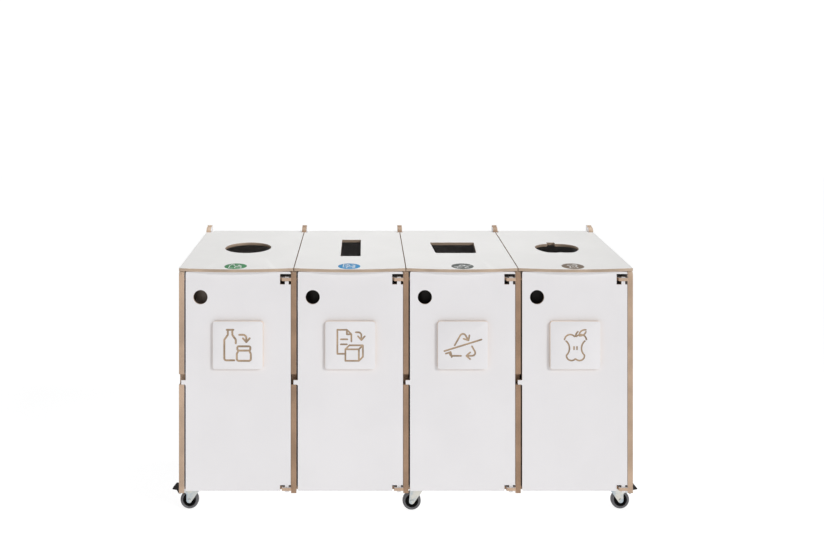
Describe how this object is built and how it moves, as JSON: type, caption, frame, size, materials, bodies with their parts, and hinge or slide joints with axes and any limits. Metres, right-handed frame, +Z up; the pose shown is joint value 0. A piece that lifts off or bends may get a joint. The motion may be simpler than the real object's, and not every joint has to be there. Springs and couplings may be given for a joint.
{
  "type": "recycling bin station",
  "caption": "Low sorting station for recycling on casters: bays side by side with hinged doors, sloping hinged lids with shaped openings, and bins inside.",
  "frame": {"origin": "on the floor, at the middle of the station's overall box", "axes": "+X to the right as seen by a person facing the doors, which face -Y; +Z up"},
  "size_m": [1.914, 0.7478, 1.115],
  "materials": {
    "laminated_ply": "white laminate faces, bare birch plywood edges",
    "door_ply": "white laminate faces, bare birch plywood edges",
    "lid_ply": "white laminate faces, bare birch plywood edges",
    "sign_ply": "white laminate engraved down to the wood",
    "bin_plastic": "matt black moulded plastic",
    "zinc_steel": "zinc plated pressed steel",
    "hub_plastic": "black moulded plastic",
    "tyre_rubber": "grey rubber",
    "pedal_plastic": "black moulded plastic",
    "fastener_steel": "bright steel",
    "beech_dowel": "bare beech"
  },
  "bodies": {
    "root": {"upright_1": "laminated_ply", "upright_2": "laminated_ply", "upright_3": "laminated_ply", "upright_4": "laminated_ply", "upright_5": "laminated_ply", "bottom_panel_1": "laminated_ply", "bag_frame_1": "laminated_ply", "back_panel_1": "laminated_ply", "waste_bin_1": "bin_plastic", "bottom_panel_2": "laminated_ply", "bag_frame_2": "laminated_ply", "back_panel_2": "laminated_ply", "waste_bin_2": "bin_plastic", "bottom_panel_3": "laminated_ply", "bag_frame_3": "laminated_ply", "back_panel_3": "laminated_ply", "waste_bin_3": "bin_plastic", "bottom_panel_4": "laminated_ply", "bag_frame_4": "laminated_ply", "back_panel_4": "laminated_ply", "waste_bin_4": "bin_plastic", "caster_mounts": "zinc_steel", "caster_screws": "fastener_steel", "caster_pads": "laminated_ply", "lid_pins": "fastener_steel", "panel_dowels": "beech_dowel"},
    "door_body_1": {"door_1": "door_ply", "sign_plate_1": "sign_ply"},
    "lid_body_1": {"lid_1": "lid_ply"},
    "door_body_2": {"door_2": "door_ply", "sign_plate_2": "sign_ply"},
    "lid_body_2": {"lid_2": "lid_ply"},
    "door_body_3": {"door_3": "door_ply", "sign_plate_3": "sign_ply"},
    "lid_body_3": {"lid_3": "lid_ply"},
    "door_body_4": {"door_4": "door_ply", "sign_plate_4": "sign_ply"},
    "lid_body_4": {"lid_4": "lid_ply"},
    "swivel_front_left": {"fork_front_left": "zinc_steel"},
    "wheel_front_left": {"hub_front_left": "hub_plastic", "tyre_front_left": "tyre_rubber"},
    "pedal_front_left": {"brake_pedal_front_left": "pedal_plastic"},
    "swivel_front_middle": {"fork_front_middle": "zinc_steel"},
    "wheel_front_middle": {"hub_front_middle": "hub_plastic", "tyre_front_middle": "tyre_rubber"},
    "swivel_front_right": {"fork_front_right": "zinc_steel"},
    "wheel_front_right": {"hub_front_right": "hub_plastic", "tyre_front_right": "tyre_rubber"},
    "pedal_front_right": {"brake_pedal_front_right": "pedal_plastic"},
    "swivel_rear_left": {"fork_rear_left": "zinc_steel"},
    "wheel_rear_left": {"hub_rear_left": "hub_plastic", "tyre_rear_left": "tyre_rubber"},
    "pedal_rear_left": {"brake_pedal_rear_left": "pedal_plastic"},
    "swivel_rear_middle": {"fork_rear_middle": "zinc_steel"},
    "wheel_rear_middle": {"hub_rear_middle": "hub_plastic", "tyre_rear_middle": "tyre_rubber"},
    "swivel_rear_right": {"fork_rear_right": "zinc_steel"},
    "wheel_rear_right": {"hub_rear_right": "hub_plastic", "tyre_rear_right": "tyre_rubber"},
    "pedal_rear_right": {"brake_pedal_rear_right": "pedal_plastic"}
  },
  "joints": [
    {"name": "door_hinge_1", "type": "hinge", "parent": "root", "child": "door_body_1", "pos_m": [-0.478, -0.34806, 0.55], "axis": [0, 0, 1], "range_deg": [0, 120]},
    {"name": "lid_hinge_1", "type": "hinge", "parent": "root", "child": "lid_body_1", "pos_m": [-0.675, 0.33894, 1.0835], "axis": [-1, 0, 0], "range_deg": [0, 100]},
    {"name": "door_hinge_2", "type": "hinge", "parent": "root", "child": "door_body_2", "pos_m": [-0.028, -0.34806, 0.55], "axis": [0, 0, 1], "range_deg": [0, 120]},
    {"name": "lid_hinge_2", "type": "hinge", "parent": "root", "child": "lid_body_2", "pos_m": [-0.225, 0.33894, 1.0835], "axis": [-1, 0, 0], "range_deg": [0, 100]},
    {"name": "door_hinge_3", "type": "hinge", "parent": "root", "child": "door_body_3", "pos_m": [0.422, -0.34806, 0.55], "axis": [0, 0, 1], "range_deg": [0, 120]},
    {"name": "lid_hinge_3", "type": "hinge", "parent": "root", "child": "lid_body_3", "pos_m": [0.225, 0.33894, 1.0835], "axis": [-1, 0, 0], "range_deg": [0, 100]},
    {"name": "door_hinge_4", "type": "hinge", "parent": "root", "child": "door_body_4", "pos_m": [0.872, -0.34806, 0.55], "axis": [0, 0, 1], "range_deg": [0, 120]},
    {"name": "lid_hinge_4", "type": "hinge", "parent": "root", "child": "lid_body_4", "pos_m": [0.675, 0.33894, 1.0835], "axis": [-1, 0, 0], "range_deg": [0, 100]},
    {"name": "swivel_turn_front_left", "type": "hinge", "parent": "root", "child": "swivel_front_left", "pos_m": [-0.865, -0.24106, 0.09], "axis": [0, 0, 1], "continuous": true},
    {"name": "wheel_turn_front_left", "type": "hinge", "parent": "swivel_front_left", "child": "wheel_front_left", "pos_m": [-0.887, -0.24106, 0.0375], "axis": [0, 1, 0], "continuous": true},
    {"name": "brake_front_left", "type": "hinge", "parent": "swivel_front_left", "child": "pedal_front_left", "pos_m": [-0.901, -0.24106, 0.082], "axis": [0, -1, 0], "range_deg": [0, 12]},
    {"name": "swivel_turn_front_middle", "type": "hinge", "parent": "root", "child": "swivel_front_middle", "pos_m": [0.0495, -0.25406, 0.09], "axis": [0, 0, 1], "continuous": true},
    {"name": "wheel_turn_front_middle", "type": "hinge", "parent": "swivel_front_middle", "child": "wheel_front_middle", "pos_m": [0.0275, -0.25406, 0.0375], "axis": [0, 1, 0], "continuous": true},
    {"name": "swivel_turn_front_right", "type": "hinge", "parent": "root", "child": "swivel_front_right", "pos_m": [0.865, -0.24106, 0.09], "axis": [0, 0, 1], "continuous": true},
    {"name": "wheel_turn_front_right", "type": "hinge", "parent": "swivel_front_right", "child": "wheel_front_right", "pos_m": [0.887, -0.24106, 0.0375], "axis": [0, 1, 0], "continuous": true},
    {"name": "brake_front_right", "type": "hinge", "parent": "swivel_front_right", "child": "pedal_front_right", "pos_m": [0.901, -0.24106, 0.082], "axis": [0, 1, 0], "range_deg": [0, 12]},
    {"name": "swivel_turn_rear_left", "type": "hinge", "parent": "root", "child": "swivel_rear_left", "pos_m": [-0.865, 0.27394, 0.09], "axis": [0, 0, 1], "continuous": true},
    {"name": "wheel_turn_rear_left", "type": "hinge", "parent": "swivel_rear_left", "child": "wheel_rear_left", "pos_m": [-0.887, 0.27394, 0.0375], "axis": [0, 1, 0], "continuous": true},
    {"name": "brake_rear_left", "type": "hinge", "parent": "swivel_rear_left", "child": "pedal_rear_left", "pos_m": [-0.901, 0.27394, 0.082], "axis": [0, -1, 0], "range_deg": [0, 12]},
    {"name": "swivel_turn_rear_middle", "type": "hinge", "parent": "root", "child": "swivel_rear_middle", "pos_m": [0.0495, 0.27394, 0.09], "axis": [0, 0, 1], "continuous": true},
    {"name": "wheel_turn_rear_middle", "type": "hinge", "parent": "swivel_rear_middle", "child": "wheel_rear_middle", "pos_m": [0.0275, 0.27394, 0.0375], "axis": [0, 1, 0], "continuous": true},
    {"name": "swivel_turn_rear_right", "type": "hinge", "parent": "root", "child": "swivel_rear_right", "pos_m": [0.865, 0.27394, 0.09], "axis": [0, 0, 1], "continuous": true},
    {"name": "wheel_turn_rear_right", "type": "hinge", "parent": "swivel_rear_right", "child": "wheel_rear_right", "pos_m": [0.887, 0.27394, 0.0375], "axis": [0, 1, 0], "continuous": true},
    {"name": "brake_rear_right", "type": "hinge", "parent": "swivel_rear_right", "child": "pedal_rear_right", "pos_m": [0.901, 0.27394, 0.082], "axis": [0, 1, 0], "range_deg": [0, 12]}
  ]
}
